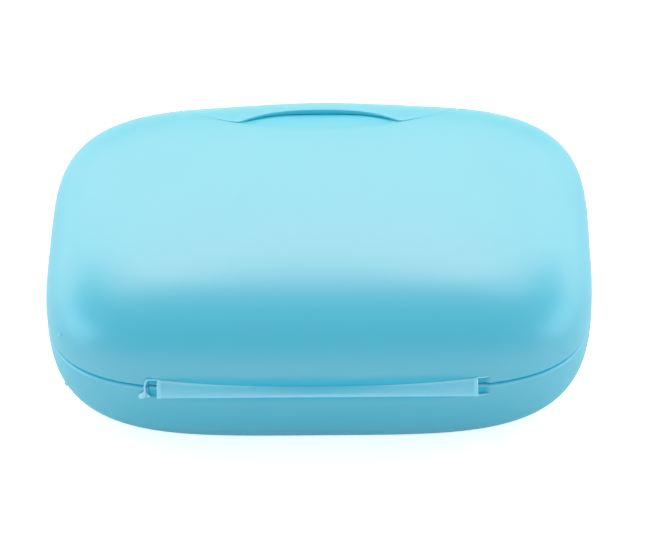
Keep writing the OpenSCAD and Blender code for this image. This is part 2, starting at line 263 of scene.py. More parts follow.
# %% The clasp's two faces, as depths below the skin
clasp_half, clasp_z0 = clasp_high[0], clasp_low[2]
clasp_t, clasp_gap, seen_gap = 1.5, 0.25, 0.08
lip_sink, thin_from = 0.3, 0.65
catch_h, catch_l, catch_at, catch_w, catch_fade = 0.5, 36.0, 0.4, 0.1, 2.0
u_clasp = band_u(clasp_z0)
x_table = np.linspace(-crease_end, crease_end, 681)
u_table = band_u(height_over(x_table, free_edge(x_table)))


def clasp_share(x, z):
    """Share of the clasp's height, from its lower end to its free edge at x."""
    return (band_u(z) - u_clasp) / (np.interp(x, x_table, u_table) - u_clasp)


def under(x, t):
    """How far the clasp's inner face lies below the skin at a share of its height.

    The wall thins towards the lip, and a catch ridge runs across it lower down.
    """
    lip = (lip_sink - clasp_t) * ease((t - thin_from) / (1 - thin_from))
    ridge = np.clip(1 - np.abs(t - catch_at) / catch_w, 0, 1)
    ends = ease((catch_l / 2 - np.abs(x)) / catch_fade)
    return clasp_t + lip + catch_h * ease(ridge) * ends


print(f"the lip is {lip_sink} mm below the skin and the plate {clasp_t} mm thick")

# %% The pocket and the finger scoop
pocket_depth = clasp_t + clasp_gap
pocket_half, pocket_z0 = clasp_half + seen_gap + 0.04, 18.65
pocket_soft, scoop_least, scoop_fade, scoop_past = 0.12, 2.0, 4.0, 2.0


def scoop(x, y):
    """Depth of the finger scoop: a hollow that starts at the crease and flattens."""
    run = free_edge(x) - crease(x)
    s = np.clip((y - crease(x)) / np.maximum(run, scoop_least), 0, 1)
    return (lip_sink + seen_gap) * (1 - (1 - s) ** 2) * ease(run / scoop_fade)


def pocket(place):
    """Depth of the clasp's recess and the finger scoop under a point of the skin."""
    x, y, z = np.moveaxis(place, -1, 0)
    recess = under(x, clasp_share(x, z)) + seen_gap
    inside = soft_step(y - free_edge(x) + seen_gap, pocket_soft)
    aside = soft_step(pocket_half - np.abs(x), pocket_soft)
    below = soft_step(z - pocket_z0, pocket_soft)
    hollow = scoop(x, y) * (np.abs(x) < notch_half + scoop_past)
    return (hollow * (1 - inside) + recess * inside * aside * below) * (y > 0)


def bulge(place, fade=5.0, end=39.0):
    """Where the wall's inner face bulges inwards behind the pocket: 1 there, and 0
    beyond a band that is fade wide. end is where the bulge's own edge levels out."""
    x, y, z = np.moveaxis(place, -1, 0)
    aside = ease((np.abs(x) - clasp_half - wall) / fade)
    below = ease((pocket_z0 - wall - z) / fade)
    behind = ease((crease(x, end) - wall - y) / fade)
    return (1 - aside) * (1 - below) * (1 - behind)


print(f"the pocket is {2 * pocket_half:.1f} mm wide and {pocket_depth} mm deep")

# %% [markdown]
# ## The relief round the rear web
# Both rims are cut back a little where the web leaves them, so that the fold can bend
# without cracking. It could be a Boolean cut, but a real one is a shallow step with
# soft edges, as the mould is polished by hand there. So it is a depth again, taken off
# the skin, and each edge has its own softness.

# %% The relief's depth
web_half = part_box("hinge_web_upper")[1][0] / MM
web_reach, web_dip, web_bow = 2.3, 0.75, 1.75
relief_depth, relief_past, relief_rise = 0.5, 1.9, 2.4
relief_half = web_half + relief_past
left_soft, right_soft, crisp_soft, broad_soft, crisp_l = 0.15, 0.75, 0.25, 2.2, 8.0


def relief(place):
    """Depth of the relief: a step across x that is softer on the right, and a step
    across z that is crisp round the web's ends and soft above its middle."""
    x, y, z = np.moveaxis(place, -1, 0)
    aside = soft_step(relief_half - np.abs(x), np.where(x > 0, right_soft, left_soft))
    inward = relief_rise - np.abs(z - seam_z)
    crisp, soft = soft_step(inward, crisp_soft), soft_step(inward, broad_soft)
    ends = ease((np.abs(x) - web_half + crisp_l) / crisp_l)
    return relief_depth * aside * (soft + (crisp - soft) * ends) * (y < 0)


print(f"the relief is {2 * relief_half:.1f} mm long and {relief_depth} mm deep")

# %% [markdown]
# ## Meshes from grids
# A shell is a stack of closed rings that starts and ends at a point, like a globe's
# circles between its poles. The quads between two rings are worked out as one array.
# A value of painted light and shade is stored for each point, which the materials read.


# %% Turn a stack of rings into a closed mesh
def ring_grid(rings, first_tip, last_tip):
    """Points, quads and triangles of rings with a pole at each end."""
    count, n, _ = rings.shape
    points = np.concatenate([rings.reshape(-1, 3), [first_tip, last_tip]])
    r, i = np.meshgrid(np.arange(count - 1), np.arange(n), indexing="ij")
    a, b = r * n + i, r * n + (i + 1) % n
    quads = np.stack([a, b, b + n, a + n], -1).reshape(-1, 4)
    i = np.arange(n)
    k = (i + 1) % n
    last = (count - 1) * n
    first_fan = np.stack([k, i, np.full(n, count * n)], -1)
    last_fan = np.stack([last + i, last + k, np.full(n, count * n + 1)], -1)
    return points, quads, np.concatenate([first_fan, last_fan])


def capped(rings):
    """The rings with a flat fan over each end."""
    return ring_grid(rings, rings[0].mean(0), rings[-1].mean(0))


def make_piece(name, points, quads, tris, body, stands_for, material, smooth=40):
    """A mesh object in metres, facing outwards, that rides on a body. The sum of the
    faces' volumes over the origin says whether they face inwards and must turn."""
    a, b, c = (points[np.concatenate([quads[:, i], tris[:, i]])] for i in (0, 1, 2))
    d = points[quads[:, 3]]
    n = len(quads)
    volume = np.einsum("ij,ij->", a, np.cross(b, c))
    volume += np.einsum("ij,ij->", a[:n], np.cross(c[:n], d))
    if volume < 0:
        quads, tris = quads[:, ::-1], tris[:, ::-1]
    mesh = bpy.data.meshes.new(name)
    faces = quads.tolist() + tris.tolist()
    mesh.from_pydata((points * MM).tolist(), [], faces)
    mesh.update()
    piece = bpy.data.objects.new(name, mesh)
    bpy.context.scene.collection.objects.link(piece)
    mesh.shade_smooth()
    mesh.set_sharp_from_angle(angle=np.radians(smooth))
    mesh.materials.append(material)
    if body:
        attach(piece, body)
    if stands_for:
        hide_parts(*stands_for)
    print(f"{name}: {len(points)} points, {len(faces)} faces")
    return piece


def store_painted_light(piece, values):
    """Store painted light, one value per point: 1 for a painted highlight, -1 for painted shade.
    """
    layer = piece.data.attributes.new("painted_light", "FLOAT", "POINT")
    layer.data.foreach_set("value", np.asarray(values, np.float32))


# %% [markdown]
# ## Materials
# The box is polypropylene, which is satin and slightly translucent: light enters it and
# scatters for part of a millimetre. Its grooves, recesses and seam get painted shade, a
# deeper colour, and its lit rims, ridges and thin parts a painted highlight, a paler one.
# Faces could be given three materials, but the borders would be hard. So a value at each
# point blends three colours: 1 is painted highlight, 0 plain and -1 painted shade, as in
# a groove. One node group holds what all the plastics share.


# %% A node group for moulded plastic
def node(tree, kind, inputs=(), **settings):
    """A new node with its settings, and its inputs linked or given a value."""
    made = tree.nodes.new(kind)
    for name, value in settings.items():
        setattr(made, name, value)
    for socket, value in dict(inputs).items():
        if isinstance(value, bpy.types.NodeSocket):
            tree.links.new(value, made.inputs[socket])
        else:
            made.inputs[socket].default_value = value
    return made


def math_of(tree, operation, *terms, **settings):
    """What a Math node makes of its terms, as a socket."""
    terms = dict(enumerate(terms))
    return node(tree, "ShaderNodeMath", terms, operation=operation, **settings).outputs[0]


def moulded_group(noise_scale=90.0, noise_rough=0.03):
    """Group that mixes in a painted highlight or painted shade colour by the stored value, and
    varies the roughness.
    """
    group = bpy.data.node_groups.new("moulded_plastic", "ShaderNodeTree")
    sockets = ("Color", "Color"), ("Painted Highlight Color", "Color"), ("Painted Shade Color", "Color")
    for name, kind in (*sockets, ("Roughness", "Float")):
        group.interface.new_socket(name, in_out="INPUT", socket_type="NodeSocket" + kind)
    for name, kind in (("Color", "Color"), ("Roughness", "Float")):
        group.interface.new_socket(name, in_out="OUTPUT", socket_type="NodeSocket" + kind)
    given = node(group, "NodeGroupInput")
    # The stored value is painted light: above 0 it mixes in the painted highlight colour, below
    # 0 the painted shade colour.
    painted_light = node(group, "ShaderNodeAttribute", attribute_name="painted_light").outputs["Fac"]
    painted_shade = math_of(group, "MULTIPLY", painted_light, -1.0, use_clamp=True)
    light = math_of(group, "MULTIPLY", painted_light, 1.0, use_clamp=True)
    color = given.outputs["Color"]
    for amount, other in ((light, "Painted Highlight Color"), (painted_shade, "Painted Shade Color")):
        ends = {"Factor": amount, "A": color, "B": given.outputs[other]}
        color = node(group, "ShaderNodeMix", ends, data_type="RGBA").outputs["Result"]
    place = node(group, "ShaderNodeTexCoord").outputs["Object"]
    cloud = node(group, "ShaderNodeTexNoise", {"Vector": place, "Scale": noise_scale})
    limits = {"Value": cloud.outputs["Fac"], "To Min": -noise_rough, "To Max": noise_rough}
    spread = node(group, "ShaderNodeMapRange", limits)
    rough = math_of(group, "ADD", given.outputs["Roughness"], spread.outputs[0])
    # Painted shade also makes the surface rougher.
    rough = math_of(group, "ADD", rough, painted_shade)
    node(group, "NodeGroupOutput", {"Color": color, "Roughness": rough})
    return group


moulded = moulded_group()
print(f"group {moulded.name}: {len(moulded.nodes)} nodes")


# %% The three plastics
satin = {"IOR": 1.7, "Specular IOR Level": 1.0}
soft_inside = {"Subsurface Weight": 0.6, "Subsurface Radius": (0.3, 1.0, 1.1)}


def plastic(name, color, painted_highlight, painted_shade, rough=0.4, depth=0.3):
    """A moulded plastic. depth is how far light scatters in it, in millimetres. The second and
    third colours are its painted highlight and painted shade.
    """
    material = bpy.data.materials.new(name)
    material.use_nodes = True
    tree = material.node_tree
    shader = tree.nodes["Principled BSDF"]
    look = node(tree, "ShaderNodeGroup", node_tree=moulded)
    for socket, value in (("Color", color), ("Painted Highlight Color", painted_highlight), ("Painted Shade Color", painted_shade)):
        look.inputs[socket].default_value = (*value, 1)
    look.inputs["Roughness"].default_value = rough
    tree.links.new(look.outputs["Color"], shader.inputs["Base Color"])
    tree.links.new(look.outputs["Roughness"], shader.inputs["Roughness"])
    for socket, value in {**satin, **soft_inside, "Subsurface Scale": depth * MM}.items():
        shader.inputs[socket].default_value = value
    print(f"{name}: colour {color}, roughness {rough}")
    return material


# Painted shade colour for grooves, recesses and the seam; each plastic's second colour is its
# painted highlight.
painted_shade_color = (0.0, 0.56, 0.74)
shell_plastic = plastic("shell_plastic", (0.015, 0.47, 0.60), (0.08, 0.56, 0.72), painted_shade_color)
# The web and flash are the shell's plastic, painted paler to stand for light through the thin
# strip.
web_plastic = plastic("web_plastic", (0.18, 0.63, 0.74), (0.36, 0.74, 0.84), painted_shade_color)
rack_plastic = plastic("rack_plastic", (0.3, 0.62, 0.68), (0.5, 0.75, 0.8), (0.2, 0.5, 0.56))

# %% [markdown]
# ## Columns for both shells
# The lid and the base share one set of columns, the grid's lines that run up and down.
# So their rims match point for point along the seam, which shows as an even line.

# %% Columns that run over both shells
side_x, column_pitch, side_columns = 44.0, 0.9, 61
straight_end, angle_start = 37.0, 53.0
front_x = lines_between(-side_x, side_x, column_pitch, [-pocket_half, pocket_half])
rear_x = lines_between(-side_x, side_x, column_pitch, [-relief_half, relief_half])
front_a = angle_at(front_x, seam_z, True)[::-1]
rear_a = angle_at(rear_x, seam_z, False)
left_a = np.linspace(front_a[-1], rear_a[0], side_columns)[1:-1]
right_a = np.linspace(rear_a[-1], front_a[0] + 2 * np.pi, side_columns)[1:-1]
column_a = np.concatenate([front_a, left_a, rear_a, right_a]) % (2 * np.pi)
column_x = skin(column_a, seam_z)[:, 0]
column_front = np.sin(column_a) > 0
column_n = len(column_a)
print(column_n, "columns")


def column_angle(z):
    """Angle of each column at a height: constant x near the middle of the front and
    rear, a constant angle at the sides, and a smooth blend of both between."""
    straight = angle_at(column_x, z, column_front)
    blend = ease((np.abs(column_x) - straight_end) / (angle_start - straight_end))
    return straight + (column_a - straight) * blend


def level_row(z):
    """The column angles on one level."""
    return column_angle(np.full(column_n, z))


def on_every_column(heights):
    """A grid of heights: one row for each, repeated for all columns."""
    return np.repeat(np.asarray(heights, float)[:, None], column_n, 1)


# %% [markdown]
# ## The lid
# The lid is a thin dome with a pocket in its front. A plain dome could take a Solidify
# modifier and a Boolean cut, but here the pocket has to fit the clasp to a tenth of a
# millimetre, and its edges are soft. So the outer face is one displaced surface, the
# dome lowered by the pocket and the relief, and the inner face is the dome moved in by
# the wall. The rim between them has small rounded edges, because a mould has no
# perfectly sharp corners.
#
# One ring of the grid runs along the crease. Above it, the rings shrink to a pole.

# %% The ring along the crease
level_out, far_x = 3.5, 80.0


def edge_height(x, before=0.1):
    """Height of the ring that runs along the crease. Past the crease's ends it keeps
    its slope at first and levels out, as a corner in it would show in the shading."""
    ends = np.array([crease_end - before, crease_end])
    inside, corner = height_over(ends, crease(ends))
    slope = (inside - corner) / before
    inner = np.minimum(np.abs(x), crease_end)
    past = np.maximum(np.abs(x) - crease_end, 0)
    drop = slope * level_out * (1 - np.exp(-past / level_out))
    return height_over(inner, crease(inner)) - drop


edge_z = edge_height(np.where(column_front, column_x, far_x))
u_edge = band_u(edge_z)
print(f"the ring runs from {edge_z.max():.2f} down to {edge_z.min():.2f} mm")

# %% Rings over the crown
pole_y = -20.0


def crown_rings(z_edge, shares):
    """Rings that shrink from an edge curve to the crown's pole along straight lines on
    the plan. The pole lies behind the middle: seen from the middle, the ends of the
    crease run almost along a line of sight, and the grid would fold over itself."""
    edge = skin(column_angle(z_edge), z_edge)
    s = np.asarray(shares)[:, None]
    x, y = s * edge[None, :, 0], pole_y + s * (edge[None, :, 1] - pole_y)
    z = height_over(x, y)
    along, across = x / half_size(z, 0), y / half_size(z, 1)
    return np.arctan2(spow(across, power(z) / 2), spow(along, power(z) / 2)), z


def crown_shares(reach, first, last, n):
    """Shares of the way out from the pole: 1 - reach v^2, close together at the edge."""
    return 1 - reach * np.linspace(first, last, n) ** 2


crown_a, crown_level = crown_rings(edge_z, crown_shares(0.96, 1, 0.03, 36))
inner_crown_a, inner_crown = crown_rings(edge_z, crown_shares(0.94, 0.2, 1, 14))
pole_z = height_over(np.zeros(1), pole_y)
lid_tips = [skin(-np.pi / 2, pole_z, off)[0] for off in (0.0, -wall)]
print(f"{len(crown_a)} rings outside and {len(inner_crown)} inside, pole at {pole_z[0]:.2f} mm")

# %% The lid's outer face
above_edge = np.array([0.5, 0.28, 0.16, 0.08, 0])
below_edge = np.array([-0.08, -0.16, -0.28, -0.6, -1.0, -1.5])
low_z = seam_z + relief_rise + np.concatenate([above_edge, below_edge])
close_steps = [0, 0.002, 0.004, 0.007, 0.011, 0.016, 0.024]
steps = np.concatenate([close_steps, np.linspace(0.034, 1, 60)])[:-1, None]
middle_z = band_z(u_edge[None] + (band_u(low_z[0]) - u_edge[None]) * steps)
outer_z = np.concatenate([crown_level, middle_z, on_every_column(low_z)])
outer_a = np.concatenate([crown_a, column_angle(outer_z[len(crown_level) :])])
plain_lid = skin(outer_a, outer_z)
lid_outer = skin(outer_a, outer_z, -pocket(plain_lid) - relief(plain_lid))
print(f"the lid's outer face has {len(lid_outer)} rings")

# %% The lid's rim
edge_round, lid_lift = 0.5, 0.15
lid_z0 = seam_z + seam_gap + lid_lift


def rim_profile(thickness, r=edge_round, n=5):
    """Offsets and heights round a rim: a quarter circle, a flat and another one."""
    t = np.linspace(0, np.pi / 2, n + 1)
    first = [(-r * (1 - np.cos(v)), r * (1 - np.sin(v))) for v in t]
    second = [(-thickness + r * (1 - np.sin(v)), r * (1 - np.cos(v))) for v in t]
    return first + second


rim_a = level_row(lid_z0)
rim_place = skin(rim_a, lid_z0)
rim_in = pocket(rim_place) + relief(rim_place)
rim_wall = wall + pocket_depth * bulge(rim_place)
lid_rim = [
    skin(rim_a, lid_z0 + up, -rim_in + off * (rim_wall - rim_in) / wall, level=True)
    for off, up in rim_profile(wall)
]
print(f"the rim is {rim_wall.min():.2f} to {rim_wall.max():.2f} mm thick")

# %% The lid's inner face
inner_up = 0.8
inner_steps = np.concatenate([np.linspace(0, 0.1, 3), np.linspace(0.2, 1, 14)])
inner_low = band_u(lid_z0 + inner_up)
inner_z = band_z(inner_low + (u_edge[None] - inner_low) * inner_steps[:, None])
lid_inner_z = np.concatenate([inner_z, inner_crown])
lid_inner_a = np.concatenate([column_angle(inner_z), inner_crown_a])
depth_in = wall + pocket_depth * bulge(skin(lid_inner_a, lid_inner_z))
lid_inner = skin(lid_inner_a, lid_inner_z, -depth_in)
print(f"the lid's inner face has {len(lid_inner)} rings")

# %% Build the lid
# Painted light on the lid: painted shade in the relief round the web and on the rim's lower
# rings in the seam, and a painted highlight in the finger scoop.
relief_shade, scoop_highlight = -0.6, 0.3
outer_n = len(lid_outer)
lid_rings = np.concatenate([lid_outer, np.array(lid_rim), lid_inner])
lid_skin = make_piece(
    "lid_skin", *ring_grid(lid_rings, *lid_tips), "lid", ["lid"], shell_plastic
)
in_scoop = scoop(plain_lid[..., 0], plain_lid[..., 1]) / (lip_sink + seen_gap)
lid_painted_light = np.zeros(lid_rings.shape[:2])
lid_painted_light[:outer_n] = relief_shade * relief(plain_lid) / relief_depth
lid_painted_light[:outer_n] += scoop_highlight * in_scoop * (plain_lid[..., 1] > 0)
lid_painted_light[outer_n + 2 : outer_n + len(lid_rim)] = -1
store_painted_light(lid_skin, np.r_[lid_painted_light.ravel(), 0, 0])

# %% [markdown]
# ## The base tray
# The tray is a bowl on a flat foot, with a tongue round its rim that centres the lid.
# It could be made like the lid, from two faces and a rim, and it is: its rings start
# at the middle of the foot, rise over the belly to the rim, climb the tongue, and come
# down again inside to the floor. The rim's outer corner is well rounded to catch the
# light, and a painted highlight on it adds to the thin bright line under the seam.

# %% The tray's foot
foot_inset, foot_z, foot_step = 2.4, 0.45, 0.3
foot_shares = np.array([0.15, 0.4, 0.65, 0.85, 0.95])


def level_ring(z, offset, height):
    """A ring taken from the level z, moved in its plane and laid at another height."""
    ring = skin(level_row(z), z, offset, level=True)
    ring[..., 2] = height
    return ring


foot_ring = level_ring(foot_z, -foot_inset, 0)
foot_flat = foot_shares[:, None, None] * foot_ring
belly_start = skin(level_row(foot_z), foot_z)
belly_next = skin(level_row(foot_z + foot_step), foot_z + foot_step)
pull = belly_start + (belly_start - belly_next) * foot_z / foot_step
t = np.linspace(0, 1, 6)[1:-1, None, None]
foot_bend = (1 - t) ** 2 * foot_ring + 2 * t * (1 - t) * pull + t**2 * belly_start
print(f"the foot is {2 * foot_ring[:, 0].max():.0f} x {2 * foot_ring[:, 1].max():.0f} mm")

# %% The tray's outer face
front_soft = 0.15


def front_recess(place):
    """Depth of the clasp's recess over the tray's front, whatever the height."""
    aside = soft_step(pocket_half - np.abs(place[..., 0]), front_soft)
    return pocket_depth * aside * (place[..., 1] > 0)


belly_z = band_z(np.linspace(band_u(foot_z), band_u(pocket_z0 - 0.5), 42))
close_z = [around(z, fine_steps[:3]) for z in (pocket_z0, seam_z - relief_rise)]
last_z = np.arange(seam_z - 2.1, seam_z - 0.76, 0.3)
base_z = on_every_column(np.concatenate([belly_z, *close_z, last_z]))
base_a = column_angle(base_z)
plain_base = skin(base_a, base_z)
base_recess = front_recess(plain_base) * soft_step(base_z - pocket_z0, front_soft)
base_outer = skin(base_a, base_z, -base_recess - relief(plain_base))
print(f"the tray's outer face has {len(base_outer)} rings")

# %% The tray's rim and tongue
rim_r, tongue_h, tongue_t, tongue_gap, step_drop = 0.75, 2.4, 0.9, 0.3, 4.0
rim_a = level_row(seam_z)
rim_place = skin(rim_a, seam_z)
rim_in = relief(rim_place) + front_recess(rim_place)
rim_drop = rim_r * (1 - np.sin(np.linspace(0, np.pi / 2, 9)))
rim_inset = rim_r * (1 - np.cos(np.linspace(0, np.pi / 2, 9)))
rim_rings = [
    skin(rim_a, seam_z - down, -rim_in - into, level=True)
    for down, into in zip(rim_drop, rim_inset)
]
tongue_path = [
    (0.0, 0.0), (0.0, 0.3), (0.04, tongue_h - 0.3), (0.12, tongue_h - 0.1), (0.3, tongue_h),
    (tongue_t - 0.3, tongue_h), (tongue_t - 0.1, tongue_h - 0.1), (tongue_t, tongue_h - 0.3),
    (tongue_t, 0), (tongue_t, -step_drop / 2),
]
shelf = wall + tongue_gap + pocket_depth * bulge(rim_place)
tongue_rings = [
    skin(rim_a, seam_z, -shelf - into, level=True) + [0, 0, up] for into, up in tongue_path
]
print(f"the tongue rises {tongue_h} mm above the seam and is {tongue_t} mm thick")

# %% The tray's inner face and floor
floor_inset, floor_low = 2.0, 1.2
inner_u = np.linspace(band_u(seam_z - step_drop), band_u(floor_low), 18)
inner_z = on_every_column(band_z(inner_u))
inner_a = column_angle(inner_z)
base_inner = skin(inner_a, inner_z, -wall - pocket_depth * bulge(skin(inner_a, inner_z)))
floor_ring = level_ring(foot_z, -wall - floor_inset, wall)
base_floor = foot_shares[::-1, None, None] * floor_ring
base_floor[..., 2] = wall
print(f"the floor is {2 * floor_ring[:, 0].max():.0f} x {2 * floor_ring[:, 1].max():.0f} mm")

# %% Build the tray
# Painted light on the tray: a painted highlight on the rim's rounded corner, painted shade where
# it turns in under the lid and at the tongue's foot, and painted shade in the relief.
rim_highlight_and_shade = [0.2, 0.6, 0.9, 1, 0.8, 0.2, -0.6, -1, -1]
foot_rings = [foot_flat, foot_ring[None], foot_bend]
upper_rings = [np.array(rim_rings), np.array(tongue_rings)]
base_rings = np.concatenate(
    [*foot_rings, base_outer, *upper_rings, base_inner, floor_ring[None], base_floor]
)
base_skin = make_piece(
    "base_skin",
    *ring_grid(base_rings, [0, 0, 0], [0, 0, wall]),
    "base",
    ["base_tray"],
    shell_plastic,
)
first = sum(len(rings) for rings in foot_rings)
rim_first = first + len(base_outer)
tongue_first = rim_first + len(rim_rings)
base_painted_light = np.zeros(base_rings.shape[:2])
base_painted_light[first:rim_first] = relief_shade * relief(plain_base) / relief_depth
base_painted_light[rim_first:tongue_first] = np.array(rim_highlight_and_shade)[:, None]
base_painted_light[tongue_first : tongue_first + 2] = -1
store_painted_light(base_skin, np.r_[base_painted_light.ravel(), 0, 0])

# %% [markdown]
# ## The clasp
# The clasp is a curved plate that hooks over the lid's front. A Solidify modifier would
# give an even wall, but this one thins towards the lip, carries a catch ridge inside,
# and has a rounding of its own at each edge. So each column of its mesh is one closed
# section: up the outer face, round the free edge, down the inner face, and round the
# lower edge.

# %% The clasp's columns
end_r, clasp_pitch = 0.3, 0.6
t = np.linspace(0, np.pi / 2, 7)
end_x = clasp_half - end_r * (1 - np.sin(t))
mid_x = lines_between(-end_x[0], end_x[0], clasp_pitch, [])
clasp_x = np.concatenate([-end_x[:0:-1], mid_x, end_x[1:]])
past = np.clip((np.abs(clasp_x) - clasp_half + end_r) / end_r, 0, 1)
fullness = np.sqrt(1 - past**2)[:, None]
print(f"the clasp is {2 * clasp_half:.1f} mm wide, in {len(clasp_x)} columns")

# %% A point of the clasp
lip_proud, proud_half, proud_rate = 0.8, 26.0, 1.6


def clasp_point(x, t, lift, into=0.0):
    """A point of the clasp at x, at a share t of its height and a share lift of its
    thickness; into draws it back inside the face it lies on, in millimetres. The
    outer face stands proud of the skin by lip_proud in the middle of the lip."""
    z = band_z(u_clasp + (np.interp(x, x_table, u_table) - u_clasp) * t)
    proud = lip_proud * (1 - ease(np.abs(x) / proud_half)) * ease(proud_rate * t)
    low, high = -under(x, t), proud
    off = low + lift * (high - low) + into
    middle = (low + high) / 2
    return skin(angle_at(x, z, True), z, middle + (off - middle) * fullness)


across = clasp_x[:, None]
spine = clasp_point(across, np.linspace(0, 1, 60)[None], 0.5)
height = np.linalg.norm(np.diff(spine, axis=1), axis=2).sum(1)[:, None]
print(f"the clasp is {height.min():.1f} to {height.max():.1f} mm high along its curve")

# %% The clasp's section
outer_r, inner_r, foot_r = 0.3, 0.15, 0.5
bend = np.linspace(0, np.pi / 2, 6)


def corner(r, at_lip, lift, angles):
    """Places round a corner of radius r on the outer face (lift 1) or the inner one
    (lift 0): r (1 - sin v) from the edge, and r (1 - cos v) into the wall."""
    inwards = 1 - 2 * lift
    places = []
    for v in angles:
        along = r / height * (1 - np.sin(v))
        places.append((1 - along if at_lip else along, lift, inwards * r * (1 - np.cos(v))))
    return places


def face(lip_round, lift, shares):
    """Places along a face, between its rounding at the foot and that at the lip."""
    length = 1 - (lip_round + foot_r) / height
    return [(foot_r / height + length * v, lift, 0) for v in shares]


up = face(outer_r, 1, np.linspace(0, 1, 50)[1:-1])
lip = corner(outer_r, True, 1, bend) + corner(inner_r, True, 0, bend[::-1])
down = face(inner_r, 0, np.linspace(1, 0, 30)[1:-1])
foot = corner(foot_r, False, 0, bend) + corner(foot_r, False, 1, bend[::-1])
section = up + lip + down + foot
print(f"each section has {len(section)} points")

# %% Build the clasp
# Painted shade on the inner rounding of the lip, under its free edge.
lip_shade = -0.4
clasp_rings = np.stack([clasp_point(across, *place)[:, 0] for place in section], 1)
clasp_skin = make_piece("clasp_skin", *capped(clasp_rings), "clasp", ["clasp"], shell_plastic)
clasp_painted_light = np.zeros(clasp_rings.shape[:2])
clasp_painted_light[:, len(up) + len(bend) // 2 : len(up) + len(lip)] = lip_shade
store_painted_light(clasp_skin, np.r_[clasp_painted_light.ravel(), 0, 0])

# %% [markdown]
# ## The rear web
# The web is one strip of plastic, thin enough to bend thousands of times. In this
# model it is one closed mesh shaped like a V lying on its side. Its two ends follow
# the lid and the base, and only the narrow nose along the fold is shared by both. A
# sheet with a Solidify modifier could not have the round bead that a fold has outside.


# %% A strip that is bent along a fold line
def offset_line(start, end, side, half_t, n):
    """Points beside the lines from start to end; half_t is one value per point."""
    v = np.linspace(0, 1, n)[None, :, None]
    way = end - start
    length = np.linalg.norm(way, axis=1, keepdims=True)
    square = side * np.stack([way[:, 1], -way[:, 0]], 1) / length
    return start[:, None] + way[:, None] * v + square[:, None] * half_t[..., None]


def bead_arc(fold, start, end, radius, n=11):
    """Points of the arc round the fold from start to end, by the shorter way."""
    first, last = (np.arctan2(*(place - fold).T[::-1]) for place in (start, end))
    turn = (last - first) % (2 * np.pi)
    turn = np.where(turn > np.pi, turn - 2 * np.pi, turn)
    a = first[:, None] + turn[:, None] * np.linspace(0, 1, n)[1:-1]
    return fold[:, None] + radius * np.stack([np.cos(a), np.sin(a)], -1)


def inner_corner(first, fold, last, half_t, least_sine=0.2):
    """Where the two inner faces meet: half_t / sin(half the angle) from the fold."""
    ways = [(e - fold) / np.linalg.norm(e - fold, axis=1, keepdims=True) for e in (first, last)]
    middle = ways[0] + ways[1]
    middle /= np.linalg.norm(middle, axis=1, keepdims=True)
    sine = np.abs(ways[0][:, 0] * middle[:, 1] - ways[0][:, 1] * middle[:, 0])
    return fold + middle * (half_t / np.maximum(sine, least_sine))[:, None]


def bent_strip(x, first, fold, last, half_t, bead_r, side=1, rib=None):
    """Rings of a strip from first over the fold to last, each an array of (y, z).

    The outer face swells into a round bead along the fold, and the inner faces meet
    in a sharp corner. rib is the height of a ridge along the first edge, per x.
    """
    swell_from, rib_at, rib_w, n_out, n_in = 0.55, 0.16, 0.1, 14, 8
    v = np.linspace(0, 1, n_out)
    fold = np.broadcast_to(fold, first.shape)
    bead_r = np.broadcast_to(bead_r, len(x))[:, None]
    thin = half_t[:, None]
    swell = thin + (bead_r - thin) * ease((v - swell_from) / (1 - swell_from))
    ridge = 0 if rib is None else rib[:, None] * np.exp(-(((v - rib_at) / rib_w) ** 2))
    upper = offset_line(first, fold, side, swell + ridge, n_out)
    lower = offset_line(last, fold, -side, swell, n_out)[:, ::-1]
    bead = bead_arc(fold, upper[:, -1], lower[:, 0], bead_r[..., None])
    inner = inner_corner(first, fold, last, half_t)
    flat = np.repeat(thin, n_in, 1)
    back = offset_line(last, fold, side, flat, n_in)[:, :-2]
    forth = offset_line(first, fold, -side, flat, n_in)[:, :-2][:, ::-1]
    loop = np.concatenate([upper, bead, lower, back, inner[:, None], forth], 1)
    return np.concatenate([np.broadcast_to(x[:, None, None], loop.shape[:2] + (1,)), loop], -1)


def on_wall(x, z, off, front=False):
    """Points of the rear or front skin at the given x and z, moved out by off."""
    return skin(angle_at(x, z, front), z, off)


# %% The rear web's lines and thickness
web_thin, end_extra, bead_r, web_sink = 0.17, 0.16, 0.3, 0.1
bar_w, tip_w, tip_loss, rib_h, rib_from, rib_run = 1.0, 0.2, 0.7, 0.16, 10, 18
near_ends = [0.0, 0.04, 0.1, 0.2, 0.4, 0.6, 0.75, 0.85, 0.95, 1.1, 1.4]
end_lines = web_half - np.array(near_ends)
even_lines = np.linspace(-web_half + 2, web_half - 2, 90)
web_x = np.concatenate([-end_lines, even_lines, end_lines[::-1]])
from_end = web_half - np.abs(web_x)
rise = web_dip + (web_reach - web_dip) * (np.abs(web_x) / web_half) ** web_bow
web_t = web_thin + end_extra * ease((bar_w - from_end) / 0.2)
web_t = web_t * np.sqrt(1 - tip_loss * ease((tip_w - from_end) / tip_w))
rib = rib_h * ease((np.abs(web_x) - rib_from) / rib_run) * ease(from_end / 0.3)
web_rings = bent_strip(
    web_x,
    on_wall(web_x, seam_z + rise, -relief_depth - web_sink)[:, 1:],
    np.array([fold_y, fold_z]),
    on_wall(web_x, seam_z - rise, -relief_depth - web_sink)[:, 1:],
    web_t,
    bead_r + (web_t - web_thin) * 0.4,
    rib=rib,
)
print(f"the web is {2 * web_half:.1f} mm long and {2 * web_thin:.2f} mm thick")

